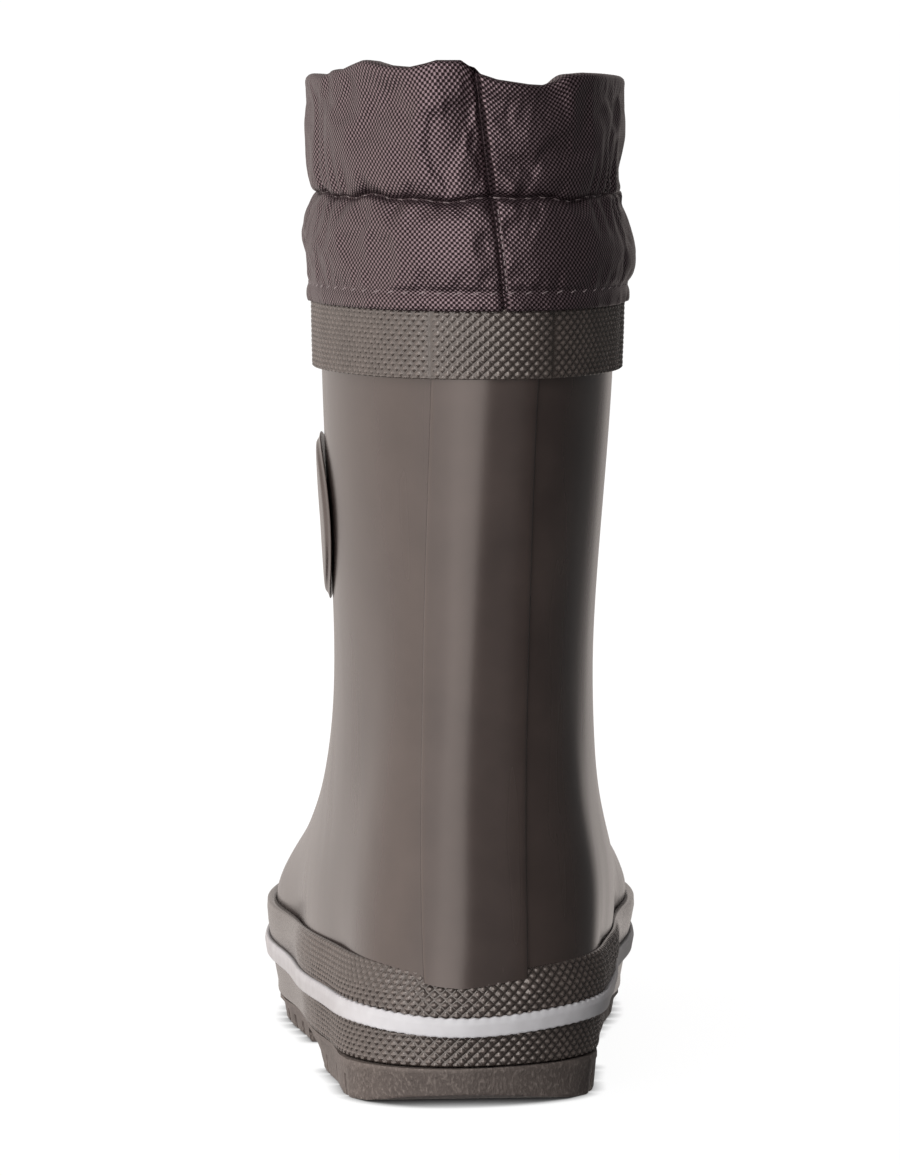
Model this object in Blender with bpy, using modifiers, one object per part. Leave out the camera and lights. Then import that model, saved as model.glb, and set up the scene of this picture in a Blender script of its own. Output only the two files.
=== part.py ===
"""A child's lined rubber boot for the left foot, as an assembly of its maker's pieces.

Tables are in millimetres, with y = 0 on the axis of the shaft and the toe toward +y, the inner
(medial) side of the foot toward +x and the floor at z = 0. The finished boot is then moved so that
the middle of its bounding box's base is the origin.
"""

import math
from collections import namedtuple

import bmesh
import bpy
import numpy as np
from mathutils import Vector

MM = 0.001

# Thicknesses and gaps, in mm
GAP = 0.3
WALL = 2.0
FOXING_THICK = 2.3
STRIPE_THICK = 1.0
STRIPE_HEIGHT = 3.9
BAND_THICK = 1.5
BACKSTAY_THICK = 0.6
INSOLE_THICK = 3.0
INSOLE_MARGIN = 2.2

# The foxing's and the stripe's upper edge: share of a row that is rounded, and by how much, in mm
EDGE_ROUND = 0.25
EDGE_THIN = 0.5

# Heights on the shaft, in mm
BAND_LOW = 146.8
BAND_HIGH = 160.8
UPPER_TOP = 164.6
COLLAR_SEAT = 161.4

# The upper's rings, as shares of its height: close together on the foot, wider apart on the shaft
FOOT_SHARES = (0.0, 0.025, 0.055, 0.085, 0.115, 0.145, 0.175, 0.205, 0.235, 0.268, 0.305, 0.35)
SHAFT_SHARES = (0.41, 0.48, 0.56, 0.65, 0.75, 0.86, 0.93, 1.0)

# Points round a ring: 0 is the middle of the back, then the inner side, the toe and the outer side
SEGMENTS = 56

# Small steps for measuring the surface: a share of a turn, a height in mm, and chords along an arc
TURN_STEP = 0.001
HEIGHT_STEP = 0.5
ARC_CHORDS = 90
ARC_LONGEST = 0.45

# The last, as level sections of the upper's outer surface. back and front are y at its two ends.
# heel to toe are half-widths at five stations round it, before the ends are rounded off by a sine.
# swing is how far the toe end turns toward the inner side, tail is the same for the very back of the
# heel, and lean is the whole section's shift.
Section = namedtuple("Section", "z back front heel quarter waist ball toe swing tail lean")
TAIL_SPREAD_DEG = 22.0
STATIONS_DEG = (22.0, 55.0, 85.0, 112.0, 150.0)
LAST = (
    Section(2.0, -39.6, 139.0, 46.0, 30.2, 28.6, 37.0, 46.0, 12.4, -4.5, -1.7),
    Section(12.0, -40.7, 143.8, 45.6, 31.3, 30.2, 38.8, 49.0, 11.8, -4.6, -1.2),
    Section(20.0, -41.2, 145.4, 45.4, 32.8, 31.6, 40.3, 50.0, 11.0, -4.8, -0.6),
    Section(28.0, -41.4, 144.8, 45.0, 34.0, 33.4, 41.5, 49.0, 10.4, -5.0, 0.0),
    Section(36.0, -41.1, 142.0, 44.4, 34.4, 33.5, 38.2, 45.0, 10.0, -5.0, 0.3),
    Section(43.0, -40.6, 135.5, 42.7, 33.9, 32.4, 33.4, 39.5, 9.2, -5.0, 0.5),
    Section(50.0, -40.0, 122.5, 40.2, 32.4, 30.4, 30.2, 33.0, 7.2, -4.8, 0.3),
    Section(57.0, -39.5, 103.0, 37.2, 30.6, 28.9, 27.4, 28.5, 5.0, -4.5, 0.0),
    Section(64.0, -39.1, 85.0, 34.6, 29.0, 27.9, 26.1, 26.0, 3.2, -4.2, -0.2),
    Section(71.0, -38.9, 71.5, 32.4, 27.9, 27.2, 25.8, 25.0, 2.0, -3.9, 0.0),
    Section(79.0, -38.9, 62.0, 30.4, 27.0, 26.7, 25.9, 24.5, 1.2, -3.5, 0.0),
    Section(88.0, -39.3, 55.0, 29.2, 26.4, 26.5, 25.8, 24.8, 0.7, -3.1, -0.2),
    Section(97.0, -39.9, 51.6, 29.2, 26.7, 26.8, 26.2, 25.4, 0.4, -2.7, -0.2),
    Section(122.0, -41.6, 47.2, 30.4, 28.4, 28.6, 28.0, 27.4, 0.0, -1.7, -0.1),
    Section(143.0, -42.8, 46.2, 31.4, 29.6, 29.8, 29.3, 29.0, 0.0, -0.8, 0.2),
    Section(165.0, -43.6, 46.0, 32.2, 30.1, 30.3, 30.0, 30.0, 0.0, 0.0, 0.3),
)

# Lines round the foot by the angle from the middle of the back: the outsole's upper edge, the lower
# edge of the pale stripe and the upper edge of the foxing
FootLine = namedtuple("FootLine", "degrees bed stripe top")
FOOT_LINES = (
    FootLine(0.0, 8.0, 14.0, 26.0),
    FootLine(20.0, 8.0, 15.5, 28.2),
    FootLine(38.0, 8.0, 16.3, 28.8),
    FootLine(60.0, 7.6, 15.6, 28.3),
    FootLine(85.0, 6.6, 14.2, 26.6),
    FootLine(112.0, 5.6, 13.9, 25.8),
    FootLine(150.0, 8.4, 16.6, 26.8),
    FootLine(180.0, 12.0, 19.6, 29.0),
)

# The underside along the foot: bevelled up at the back of the heel, flat, then the toe's spring
Tread = namedtuple("Tread", "y z")
TREAD = (
    Tread(-45.0, 3.2),
    Tread(-40.0, 2.2),
    Tread(-33.0, 0.5),
    Tread(-29.0, 0.0),
    Tread(98.0, 0.0),
    Tread(118.0, 1.4),
    Tread(136.0, 5.2),
    Tread(150.0, 8.8),
)

# The outsole's side: share of its height from the floor, and how far it stands in from the foxing
# at the heel and from the waist forward
SoleEdge = namedtuple("SoleEdge", "share heel ball")
SOLE_EDGE = (
    SoleEdge(1.0, 0.2, 0.3),
    SoleEdge(0.86, 0.2, 0.3),
    SoleEdge(0.80, 0.4, 1.1),
    SoleEdge(0.10, 0.9, 1.8),
    SoleEdge(0.0, 1.2, 2.3),
)
HEEL_END_DEG = 50.0
BALL_START_DEG = 80.0

# The arch, cut out between the heel's front face and the first bar of the forefoot
ArchCorner = namedtuple("ArchCorner", "y z")
ARCH = (
    ArchCorner(8.6, -2.0),
    ArchCorner(9.4, 1.4),
    ArchCorner(12.5, 3.7),
    ArchCorner(18.0, 4.6),
    ArchCorner(42.0, 4.2),
    ArchCorner(45.5, 3.4),
    ArchCorner(47.0, 2.0),
    ArchCorner(47.6, -2.0),
)

# Half the length of the cutters that go across the whole sole
CUTTER_HALF = 70.0

# Cuts across the tread: the middle of each in y, its width and its depth from the floor
Cut = namedtuple("Cut", "y width depth")
HEEL_CUTS = (Cut(-24.0, 1.6, 4.6), Cut(-9.5, 1.6, 4.4), Cut(4.0, 1.6, 4.0))
BALL_CUTS = tuple(Cut(56.0 + 9.0 * index, 2.2, 3.2) for index in range(6))
TOE_CUTS = (Cut(110.0, 2.2, 3.8), Cut(119.5, 2.4, 4.8))

# The padded collar's profile, outer side upward and then the inner side downward. out is measured
# from the shaft's outline at COLLAR_SEAT, and lift is the share of the rim's rise that it takes.
Profile = namedtuple("Profile", "z out lift")
COLLAR = (
    Profile(161.3, 0.3, 0.0),
    Profile(161.3, 1.7, 0.0),
    Profile(163.8, 1.8, 0.0),
    Profile(164.5, 1.5, 0.0),
    Profile(166.2, 2.9, 0.0),
    Profile(168.8, 3.5, 0.0),
    Profile(173.0, 3.5, 0.0),
    Profile(177.6, 3.0, 0.0),
    Profile(180.8, 1.7, 0.0),
    Profile(182.6, 0.1, 0.0),
    Profile(184.4, 1.3, 0.0),
    Profile(188.0, 2.1, 0.1),
    Profile(195.0, 2.3, 0.3),
    Profile(202.0, 2.2, 0.7),
    Profile(205.8, 1.5, 1.0),
    Profile(207.2, -0.8, 1.0),
    Profile(206.0, -2.9, 1.0),
    Profile(201.0, -3.7, 0.7),
    Profile(192.0, -3.6, 0.2),
    Profile(182.6, -2.4, 0.0),
    Profile(172.0, -3.2, 0.0),
    Profile(166.6, -2.8, 0.0),
    Profile(164.9, -1.8, 0.0),
    Profile(164.9, 0.3, 0.0),
)

# The collar's rim stands in soft lobes and sinks at the front. turn runs 0 to 1 as the ring's points do.
Lobe = namedtuple("Lobe", "turn spread rise")
RIM_LOBES = (
    Lobe(0.955, 0.040, 1.2),
    Lobe(0.060, 0.032, -2.6),
    Lobe(0.150, 0.050, -0.4),
    Lobe(0.860, 0.050, -0.8),
    Lobe(0.300, 0.060, -1.0),
    Lobe(0.500, 0.230, -5.0),
    Lobe(0.700, 0.060, -0.6),
)

# The badge: a raised oval plate on a thin oval flange, on the outer side of the shaft
BADGE_Z = 115.4
BADGE_Y = 11.0
BADGE_TALL = 35.4
BADGE_WIDE = 32.0
BADGE_POINTS = 28
BadgeRing = namedtuple("BadgeRing", "share height")
BADGE_RINGS = (
    BadgeRing(0.5, 0.3),
    BadgeRing(1.0, 0.3),
    BadgeRing(1.0, 0.8),
    BadgeRing(0.93, 0.9),
    BadgeRing(0.90, 1.5),
    BadgeRing(0.85, 1.7),
    BadgeRing(0.45, 1.7),
)

# The backstay's middle leans toward the inner side on its way up
BACKSTAY_HALF = 11.0
BACKSTAY_FOOT = 28.0
BACKSTAY_LOW_SHIFT = 3.0
BACKSTAY_HIGH_SHIFT = 0.3
BACKSTAY_COLUMNS = 8
BACKSTAY_ROWS = 16


def smooth(x, xs, ys):
    """A smooth curve through the points that never swings past them, flat beyond its two ends."""
    xs = np.asarray(xs, float)
    ys = np.asarray(ys, float)
    steps = np.diff(xs)
    slopes = np.diff(ys) / steps
    tangents = np.zeros(len(xs))
    for index in range(1, len(xs) - 1):
        before, after = slopes[index - 1], slopes[index]
        if before * after > 0:
            weight_a = 2 * steps[index] + steps[index - 1]
            weight_b = steps[index] + 2 * steps[index - 1]
            tangents[index] = (weight_a + weight_b) / (weight_a / before + weight_b / after)
    x = min(max(x, xs[0]), xs[-1])
    cell = min(int(np.searchsorted(xs, x, side="right")) - 1, len(steps) - 1)
    t = (x - xs[cell]) / steps[cell]
    rise = ys[cell] + (ys[cell + 1] - ys[cell]) * t * t * (3 - 2 * t)
    return rise + steps[cell] * t * (1 - t) * (tangents[cell] * (1 - t) - tangents[cell + 1] * t)


def column(table, field):
    return [getattr(row, field) for row in table]


def section_at(z):
    """The last's section at one height, each column smoothed over the table's heights."""
    heights = column(LAST, "z")
    values = [smooth(z, heights, column(LAST, field)) for field in Section._fields[1:]]
    return Section(z, *values)


def fold(turn):
    """The angle from the middle of the back, 0 to 180 degrees on either side."""
    turn = turn % 1.0
    return 360.0 * min(turn, 1.0 - turn)


def foot_line(field, turn):
    return smooth(fold(turn), column(FOOT_LINES, "degrees"), column(FOOT_LINES, field))


def outline(section, turn):
    """The point of a level section at one turn, on the upper's outer surface."""
    angle = 2 * math.pi * turn
    share = (1 - math.cos(angle)) / 2
    widths = (section.heel, section.quarter, section.waist, section.ball, section.toe)
    half = smooth(fold(turn), STATIONS_DEG, widths)
    turned = section.swing * share**2 + section.tail * math.exp(-((fold(turn) / TAIL_SPREAD_DEG) ** 2))
    x = section.lean + turned + half * math.sin(angle)
    y = section.back + (section.front - section.back) * share
    return Vector((x, y, section.z))


def skin(z, turn, out=0.0):
    """A point on the upper's outer surface, or that far outside it along the surface's normal."""
    point = outline(section_at(z), turn)
    if out == 0.0:
        return point
    around = outline(section_at(z), turn + TURN_STEP) - outline(section_at(z), turn - TURN_STEP)
    upward = outline(section_at(z + HEIGHT_STEP), turn) - outline(section_at(z - HEIGHT_STEP), turn)
    return point + around.cross(upward).normalized() * out


def level(z, turn, out):
    """A point that far outside the section at one height, moved out level with the floor."""
    section = section_at(z)
    around = outline(section, turn + TURN_STEP) - outline(section, turn - TURN_STEP)
    return outline(section, turn) + around.cross(Vector((0, 0, 1))).normalized() * out


def turns():
    return [index / SEGMENTS for index in range(SEGMENTS)]


def turn_at_arc(z, arc):
    """The turn that lies this far round the surface from the middle of the back."""
    side = 1 if arc >= 0 else -1
    section = section_at(z)
    angles = np.linspace(0.0, ARC_LONGEST, ARC_CHORDS + 1)
    points = [outline(section, side * angle) for angle in angles]
    lengths = [(b - a).length for a, b in zip(points, points[1:])]
    reach = np.concatenate([[0.0], np.cumsum(lengths)])
    return side * float(np.interp(abs(arc), reach, angles))


def arc_at_turn(z, turn):
    section = section_at(z)
    points = [outline(section, turn * index / ARC_CHORDS) for index in range(ARC_CHORDS + 1)]
    return math.copysign(sum((b - a).length for a, b in zip(points, points[1:])), turn)


def clear_scene():
    for item in list(bpy.data.objects):
        bpy.data.objects.remove(item, do_unlink=True)


def collection(name):
    made = bpy.data.collections.new(name)
    bpy.context.scene.collection.children.link(made)
    return made


def rubber(name, colour, roughness):
    material = bpy.data.materials.new(name)
    material.use_nodes = True
    shader = material.node_tree.nodes["Principled BSDF"]
    shader.inputs["Base Color"].default_value = (*colour, 1.0)
    shader.inputs["Roughness"].default_value = roughness
    return material


def new_object(name, shape, home, material=None):
    """Finishes a bmesh as an object in the collection, its sizes turned from mm to metres."""
    bmesh.ops.scale(shape, vec=(MM, MM, MM), verts=shape.verts)
    mesh = bpy.data.meshes.new(name)
    shape.to_mesh(mesh)
    shape.free()
    made = bpy.data.objects.new(name, mesh)
    home.objects.link(made)
    if material is not None:
        mesh.materials.append(material)
    return made


def lofted(rings, around=True, along=False):
    """A bmesh of quads between rings of points. around joins each ring's ends, along the rings' ends."""
    shape = bmesh.new()
    rows = [[shape.verts.new(point) for point in ring] for ring in rings]
    pairs = list(zip(rows, rows[1:]))
    if along:
        pairs.append((rows[-1], rows[0]))
    count = len(rows[0])
    for lower, upper in pairs:
        for index in range(count if around else count - 1):
            after = (index + 1) % count
            shape.faces.new((lower[index], lower[after], upper[after], upper[index]))
    return shape, rows


def ladder(shape, ring, up):
    """Closes a ring with rungs between its two sides, so that the face bends only along the foot."""
    count = len(ring)
    half = count // 2
    for index in range(half):
        a, b = ring[index], ring[index + 1]
        c, d = ring[(count - index - 1) % count], ring[(count - index) % count]
        corners = [a, b, c, d]
        face = [corner for at, corner in enumerate(corners) if corner not in corners[:at]]
        shape.faces.new(face if up else face[::-1])


def solidify(made, thick, outward):
    shell = made.modifiers.new("wall", "SOLIDIFY")
    shell.thickness = thick * MM
    shell.offset = 1.0 if outward else -1.0
    shell.use_even_offset = True
    shell.use_quality_normals = True


def foot_hoop(low, high, inner, outer, rows):
    """A closed hoop between two lines round the foot, with its top edge thinned on the outside."""

    def ring(share, out):
        points = []
        for turn in turns():
            z = low(turn) * (1 - share) + high(turn) * share
            points.append(level(z, turn, out))
        return points

    shares = [row / rows for row in range(rows + 1)]
    outside = [ring(share, outer) for share in shares[:-1]]
    outside.append(ring(1 - EDGE_ROUND / rows, outer))
    outside.append(ring(1.0, outer - EDGE_THIN))
    inside = [ring(share, inner) for share in reversed(shares)]
    return lofted(outside + inside, along=True)[0]


def bed_height(turn):
    return foot_line("bed", turn)


def make_upper(home):
    rings = []
    for share in FOOT_SHARES + SHAFT_SHARES:
        ring = []
        for turn in turns():
            foot = bed_height(turn) + GAP
            ring.append(skin(foot + (UPPER_TOP - foot) * share, turn))
        rings.append(ring)
    shape, _ = lofted(rings)
    made = new_object("upper", shape, home, rubber("moulded rubber", (0.155, 0.130, 0.120), 0.3))
    solidify(made, WALL, outward=False)
    return made


def make_foxing(home):
    shape = foot_hoop(
        low=lambda turn: bed_height(turn) + GAP,
        high=lambda turn: foot_line("top", turn),
        inner=GAP,
        outer=GAP + FOXING_THICK,
        rows=5,
    )
    return new_object("foxing", shape, home, rubber("knurled rubber", (0.16, 0.135, 0.125), 0.5))


def make_stripe(home):
    under = GAP + FOXING_THICK + GAP
    shape = foot_hoop(
        low=lambda turn: foot_line("stripe", turn),
        high=lambda turn: foot_line("stripe", turn) + STRIPE_HEIGHT,
        inner=under,
        outer=under + STRIPE_THICK,
        rows=1,
    )
    return new_object("stripe", shape, home, rubber("pale rubber strip", (0.72, 0.70, 0.70), 0.5))


def make_top_band(home):
    heights = (BAND_LOW, (BAND_LOW + BAND_HIGH) / 2, BAND_HIGH)
    rings = [[skin(z, turn, GAP) for turn in turns()] for z in heights]
    shape, _ = lofted(rings)
    made = new_object("top_band", shape, home, rubber("knurled band", (0.17, 0.145, 0.135), 0.5))
    solidify(made, BAND_THICK, outward=True)
    return made


def make_backstay(home):
    high = BAND_LOW - GAP
    rings = []
    for row in range(BACKSTAY_ROWS + 1):
        share = row / BACKSTAY_ROWS
        shift = BACKSTAY_LOW_SHIFT + (BACKSTAY_HIGH_SHIFT - BACKSTAY_LOW_SHIFT) * share
        ring = []
        for step in range(BACKSTAY_COLUMNS + 1):
            arc = shift + BACKSTAY_HALF * (2 * step / BACKSTAY_COLUMNS - 1)
            low = foot_line("top", turn_at_arc(BACKSTAY_FOOT, arc)) + 3 * GAP
            z = low + (high - low) * share
            ring.append(skin(z, turn_at_arc(z, arc), GAP))
        rings.append(ring)
    shape, _ = lofted(rings, around=False)
    made = new_object("backstay", shape, home, rubber("rubber backstay", (0.155, 0.130, 0.120), 0.3))
    solidify(made, BACKSTAY_THICK, outward=True)
    return made


def make_badge(home):
    section = section_at(BADGE_Z)
    reach = (BADGE_Y - section.back) / (section.front - section.back)
    middle = -math.acos(1 - 2 * reach) / (2 * math.pi)

    def place(share, angle, height):
        z = BADGE_Z + share * BADGE_TALL / 2 * math.sin(angle)
        arc = arc_at_turn(z, middle) + share * BADGE_WIDE / 2 * math.cos(angle)
        return skin(z, turn_at_arc(z, arc), height)

    angles = [2 * math.pi * index / BADGE_POINTS for index in range(BADGE_POINTS)]
    rings = [[place(row.share, angle, row.height) for angle in angles] for row in BADGE_RINGS]
    shape, rows = lofted(rings)
    back = shape.verts.new(place(0.0, 0.0, BADGE_RINGS[0].height))
    face = shape.verts.new(place(0.0, 0.0, BADGE_RINGS[-1].height))
    for index in range(BADGE_POINTS):
        after = (index + 1) % BADGE_POINTS
        shape.faces.new((back, rows[0][after], rows[0][index]))
        shape.faces.new((face, rows[-1][index], rows[-1][after]))
    return new_object("badge", shape, home, rubber("moulded badge", (0.13, 0.11, 0.10), 0.4))


def rim_rise(turn):
    total = 0.0
    for lobe in RIM_LOBES:
        away = abs((turn - lobe.turn + 0.5) % 1.0 - 0.5)
        if away < lobe.spread:
            total += lobe.rise * (1 + math.cos(math.pi * away / lobe.spread)) / 2
    return total


def make_collar(home):
    rings = []
    for row in COLLAR:
        ring = []
        for turn in turns():
            point = level(COLLAR_SEAT, turn, row.out)
            point.z = row.z + row.lift * rim_rise(turn)
            ring.append(point)
        rings.append(ring)
    shape, _ = lofted(rings, along=True)
    return new_object("collar", shape, home, rubber("padded nylon", (0.13, 0.095, 0.095), 0.8))


def tread_height(y):
    return smooth(y, column(TREAD, "y"), column(TREAD, "z"))


def sole_ring(row):
    ring = []
    for turn in turns():
        bed = bed_height(turn)
        inset = smooth(fold(turn), (HEEL_END_DEG, BALL_START_DEG), (row.heel, row.ball))
        point = level(bed + GAP, turn, GAP + FOXING_THICK - inset)
        floor = tread_height(point.y)
        point.z = floor + (bed - floor) * row.share
        ring.append(point)
    return ring


def arch_cutter(home):
    """The arch's outline in y and z, drawn across the whole sole."""
    sides = (-CUTTER_HALF, CUTTER_HALF)
    ends = [[Vector((side, corner.y, corner.z)) for corner in ARCH] for side in sides]
    shape, rows = lofted(ends)
    shape.faces.new(rows[0][::-1])
    shape.faces.new(rows[1])
    bmesh.ops.recalc_face_normals(shape, faces=shape.faces)
    return new_object("arch cutter", shape, home)


def bar_cutter(cut, home):
    shape = bmesh.new()
    bmesh.ops.create_cube(shape, size=1.0)
    bmesh.ops.scale(shape, vec=(2 * CUTTER_HALF, cut.width, 2 * cut.depth), verts=shape.verts)
    bmesh.ops.translate(shape, vec=(0.0, cut.y, 0.0), verts=shape.verts)
    return new_object(f"tread cutter {cut.y:.0f}", shape, home)


def make_outsole(home, cutters):
    rings = [sole_ring(row) for row in reversed(SOLE_EDGE)]
    shape, rows = lofted(rings)
    ladder(shape, rows[0], up=False)
    ladder(shape, rows[-1], up=True)
    made = new_object("outsole", shape, home, rubber("sole rubber", (0.15, 0.125, 0.115), 0.6))
    tools = [arch_cutter(cutters)]
    tools += [bar_cutter(cut, cutters) for cut in HEEL_CUTS + BALL_CUTS + TOE_CUTS]
    for tool in tools:
        tool.hide_render = True
        tool.display_type = "WIRE"
        cut = made.modifiers.new(tool.name, "BOOLEAN")
        cut.operation = "DIFFERENCE"
        cut.solver = "EXACT"
        cut.object = tool
    return made, tools


def make_insole(home):
    rings = []
    for height in (2 * GAP, 2 * GAP + INSOLE_THICK):
        ring = []
        for turn in turns():
            bed = bed_height(turn)
            point = level(bed + height, turn, -WALL - INSOLE_MARGIN)
            point.z = bed + height
            ring.append(point)
        rings.append(ring)
    shape, rows = lofted(rings)
    ladder(shape, rows[0], up=False)
    ladder(shape, rows[-1], up=True)
    return new_object("insole", shape, home, rubber("foam insole", (0.25, 0.24, 0.23), 0.9))


def stand_on_origin(parts, cutters):
    """Moves everything by one empty so that the middle of the box's base is the origin."""
    bpy.context.view_layer.update()
    graph = bpy.context.evaluated_depsgraph_get()
    corners = []
    for made in parts:
        corners += [Vector(corner) for corner in made.evaluated_get(graph).bound_box]
    low = [min(corner[axis] for corner in corners) for axis in range(3)]
    high = [max(corner[axis] for corner in corners) for axis in range(3)]
    root = bpy.data.objects.new("boot", None)
    bpy.context.scene.collection.objects.link(root)
    root.location = (-(low[0] + high[0]) / 2, -(low[1] + high[1]) / 2, -low[2])
    for made in parts + cutters:
        made.parent = root


def build():
    clear_scene()
    pieces = collection("lined rubber boot")
    tools = collection("cutters")
    outsole, cutters = make_outsole(pieces, tools)
    parts = [
        outsole,
        make_insole(pieces),
        make_upper(pieces),
        make_backstay(pieces),
        make_foxing(pieces),
        make_stripe(pieces),
        make_top_band(pieces),
        make_collar(pieces),
        make_badge(pieces),
    ]
    stand_on_origin(parts, cutters)


build()
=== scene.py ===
"""Looks of the lined rubber boot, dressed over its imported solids. All lengths are metres."""

import math
from collections import namedtuple
from contextlib import contextmanager

import bpy
import numpy as np
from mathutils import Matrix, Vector
from mathutils.bvhtree import BVHTree


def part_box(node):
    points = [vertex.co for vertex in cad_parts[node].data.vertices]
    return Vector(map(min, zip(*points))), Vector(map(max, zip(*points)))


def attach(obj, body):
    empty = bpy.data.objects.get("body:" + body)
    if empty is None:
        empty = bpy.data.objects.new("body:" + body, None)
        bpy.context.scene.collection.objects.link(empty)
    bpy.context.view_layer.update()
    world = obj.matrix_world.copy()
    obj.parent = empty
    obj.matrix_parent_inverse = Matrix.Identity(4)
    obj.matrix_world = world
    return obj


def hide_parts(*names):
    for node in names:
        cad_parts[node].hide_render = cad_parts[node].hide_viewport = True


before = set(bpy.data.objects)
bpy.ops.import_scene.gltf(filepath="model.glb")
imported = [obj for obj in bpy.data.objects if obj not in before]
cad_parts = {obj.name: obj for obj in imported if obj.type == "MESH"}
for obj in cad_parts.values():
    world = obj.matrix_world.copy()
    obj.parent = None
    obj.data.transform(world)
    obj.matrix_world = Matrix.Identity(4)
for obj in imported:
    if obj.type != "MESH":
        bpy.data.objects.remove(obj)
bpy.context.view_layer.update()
scene = bpy.context.scene

MM = 0.001
FAR = 0.25
WORK_SEED = 28

# The photograph's camera: a long lens behind the heel, a little to the boot's outer side.
EYE = (-0.1441, -1.5441, 0.240)
AIM = (-0.0082, -0.0503, 0.101)
LENS_MM = 224.5
SENSOR_MM = 36.0
LENS_CLIP = 0.05

# Where the hollow's upright axis and the foot's heel and toe centres stand, in plan.
SHAFT_AXIS = (-0.0046, -0.0500)
HEEL_CENTRE = (-0.0050, -0.0570)
TOE_CENTRE = (0.0000, 0.0580)
COLUMNS = 360

# How solids are measured: shares of a band's height, heights tried for a band, halvings in the search
# for an edge in height and in turn, and the smoothing round the shaft, the collar's seat and the foot
SAMPLE_SHARES = np.array([0.10, 0.30, 0.50, 0.70, 0.90])
EDGE_TRIES = 24
HEIGHT_HALVINGS = 16
TURN_HALVINGS = 14
SHAFT_EVENING = 2.0
SEAT_EVENING = 3.0
FOOT_EVENING = 6.0

# How a copied solid is cleaned: the merging distance, and the widest bend between two triangles of a quad
MERGE_WITHIN = 0.01 * MM
QUAD_BEND = math.radians(60)

# The knurl: pitches along and up, height, and the share of the height that is sunk below the solid's
# face. A pyramid is flat above KNURL_FLAT of its full height.
BAND_KNURL = (2.1 * MM, 2.0 * MM)
BAND_KNURL_TALL = 0.42 * MM
BAND_KNURL_SUNK = 0.9
FOXING_KNURL = (2.25 * MM, 2.1 * MM)
FOXING_KNURL_TALL = 0.52 * MM
FOXING_KNURL_SUNK = 0.5
KNURL_FLAT = 0.65
LEAST_RELIEF = 0.01 * MM

# How much of the foxing's knurl stands, and how much of its lip's thinning is left, by distance from
# the back round either side
KNURL_FADE_AT = np.array([0.0, 62.0, 84.0, 100.0, 400.0]) * MM
KNURL_FADE = np.array([1.0, 1.0, 0.6, 0.0, 0.0])
SKIVE_FADE_AT = np.array([0.0, 85.0, 130.0, 400.0]) * MM
SKIVE_FADE = np.array([1.0, 1.0, 0.15, 0.15])

# Spacing of the mesh on knurled and plain rubber, and rows of points up each band
KNURL_STEP = 0.27 * MM
PLAIN_STEP = 2.0 * MM
BAND_ROWS = 54
FOXING_ROWS = 78
STRIPE_ROWS = 14

# Rubber sizes
BAND_WALL = 1.2 * MM
FOXING_WALL = 2.0 * MM
STRIPE_WALL = 0.9 * MM
STRIPE_TOOTH = 0.30 * MM
STRIPE_LOW_TOOTH = -0.5
BACKSTAY_PROUD = 0.85 * MM
BACKSTAY_EDGE = 0.9 * MM
BACKSTAY_TUCK = 1.0 * MM
BACKSTAY_LAP = 1.0 * MM
BACKSTAY_ROWS = 72
BACKSTAY_GLUE = 0.05 * MM
BACKSTAY_EDGE_DROP = 0.75
BACKSTAY_FLARE = 0.30 * MM
BACKSTAY_FLARE_FROM = 0.66
BACKSTAY_SHADE = math.radians(50)

# How the backstay's sides are found: margins at its two ends, heights tried, a turn in degrees past
# its side and the order of the curve through them. Its mesh is closer near its sides.
BACKSTAY_MARGINS = (4 * MM, 1 * MM)
BACKSTAY_TRIES = 40
BACKSTAY_PAST = 40.0
BACKSTAY_ORDER = 4
BACKSTAY_SIDE_SHARES = np.array([0.0, 0.006, 0.015, 0.03])
BACKSTAY_MID_SHARES = np.linspace(0.06, 0.94, 20)
FOXING_TOP_BETWEEN = (0.018, 0.040)

# The lining: heights of the ankle and of the foot's middle, how far forward the foot's middle line
# runs, and how squarely a face has to look at the middle to be an inner one
ANKLE_HEIGHT = 62 * MM
FOOT_MIDDLE = 25 * MM
TOE_MIDDLE = 55 * MM
LINING_FACING = 0.15
LINING_GAP = 0.4 * MM
LINING_THICK = 1.0 * MM

# Sole and insole: faces that count as flat, edge radius, sharpest corner left and smoothing angle
SOLE_FLAT = math.radians(1)
SOLE_EDGE_ROUND = 0.35 * MM
SOLE_CORNER = math.radians(40)
SOLE_SHADE = math.radians(35)
INSOLE_EDGE_ROUND = 0.8 * MM
INSOLE_CORNER = math.radians(50)
INSOLE_SHADE = math.radians(40)

# Edges, seams and laps of the bands, and the smoothing of the shell between its two ends
BAND_EDGES = (0.3 * MM, 0.3 * MM)
FOXING_EDGES = (0.4 * MM, 0.3 * MM)
FOXING_SKIVE = (1.5 * MM, 5.0 * MM)
STRIPE_EDGES = (0.35 * MM, 0.35 * MM)
BAND_SEAMS_AT = (-12.0 * MM, 14.4 * MM)
BAND_SEAM_HALF = 0.55 * MM
TUCK_FROM = -12.6 * MM
TUCK_TO = 9.6 * MM
TUCK_DROP = 0.9 * MM
TUCK_SLOPE = 0.5 * MM
SHELL_SMOOTHING = 40
SHELL_EDGE_LOW = 22 * MM
SHELL_EDGE_HIGH = 3 * MM
SHELL_EDGE_FADE = 6 * MM

# Collar sizes
COLLAR_SEAT = 0.1630
COLLAR_STEP = 1.05 * MM
SEAM_STEP = 0.32 * MM
SEAM_REACH = 3.0 * MM
SEAM_BLEND = 22.0 * MM
COLLAR_ROW_STEP = 1.05 * MM
CURVE_PARTS = 12
WEAVE_PITCH = (0.95 * MM, 1.05 * MM)

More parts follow.
